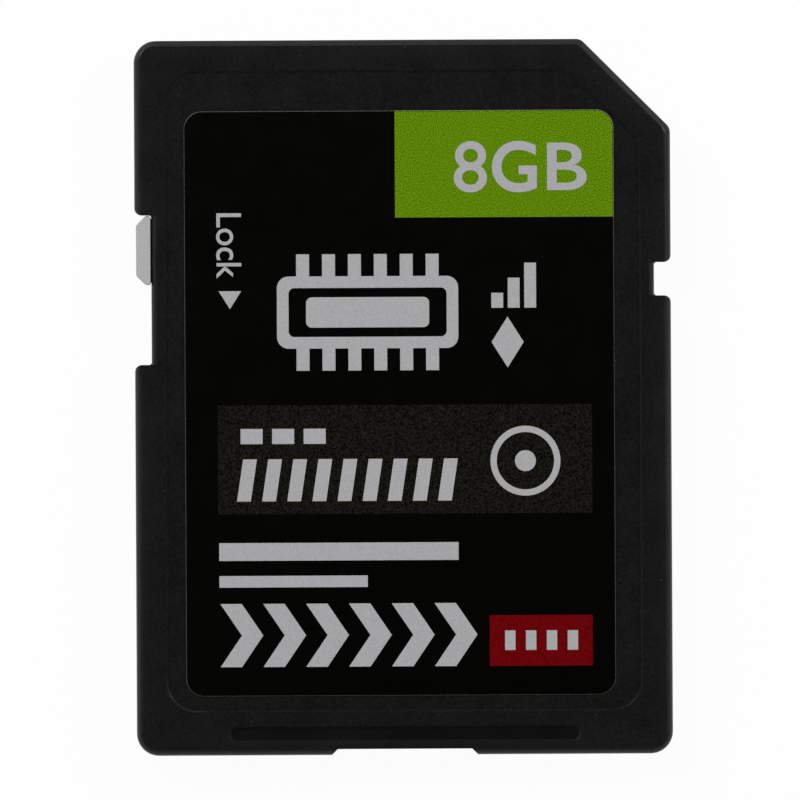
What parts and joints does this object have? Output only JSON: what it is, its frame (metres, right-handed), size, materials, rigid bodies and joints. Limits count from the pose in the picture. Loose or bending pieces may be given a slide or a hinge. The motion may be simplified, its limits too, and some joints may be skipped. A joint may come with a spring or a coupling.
{
  "type": "sd memory card",
  "caption": "Flat full-size memory card with a slanted corner, gold contacts in the back and a sliding lock switch in its left side.",
  "frame": {"origin": "middle of the card's outline, on the plane of its raised back", "axes": "+X to the side with the slanted corner, +Y to the contact edge, +Z out of the label"},
  "size_m": [0.024, 0.032, 0.0021],
  "materials": {
    "shell": "fine moulded grain",
    "board": "solder mask",
    "chip": "moulded epoxy",
    "switch": "smooth moulded",
    "film": "satin film",
    "green_ink": "speckled print",
    "band_ink": "speckled print",
    "red_ink": "print",
    "pale_ink": "print",
    "gold": "gold plated",
    "capacitor": "ceramic",
    "resistor": "ceramic"
  },
  "bodies": {
    "card": {"bottom_shell": "shell", "circuit_board": "board", "contact_pad_1": "gold", "contact_pad_2": "gold", "contact_pad_3": "gold", "contact_pad_4": "gold", "contact_pad_5": "gold", "contact_pad_6": "gold", "contact_pad_7": "gold", "contact_pad_8": "gold", "contact_pad_9": "gold", "flash_chip": "chip", "controller_chip": "chip", "capacitor_1": "capacitor", "capacitor_2": "capacitor", "capacitor_3": "capacitor", "capacitor_4": "capacitor", "resistor_1": "resistor", "resistor_2": "resistor", "resistor_3": "resistor", "resistor_4": "resistor", "top_shell": "shell", "label_film": "film", "green_field": "green_ink", "dark_band": "band_ink", "red_field": "red_ink", "pale_marks": "pale_ink"},
    "switch": {"lock_switch": "switch"}
  },
  "joints": [
    {"name": "lock_slide", "type": "slide", "parent": "card", "child": "switch", "axis": [0, -1, 0], "range_m": [0, 0.00355]}
  ]
}
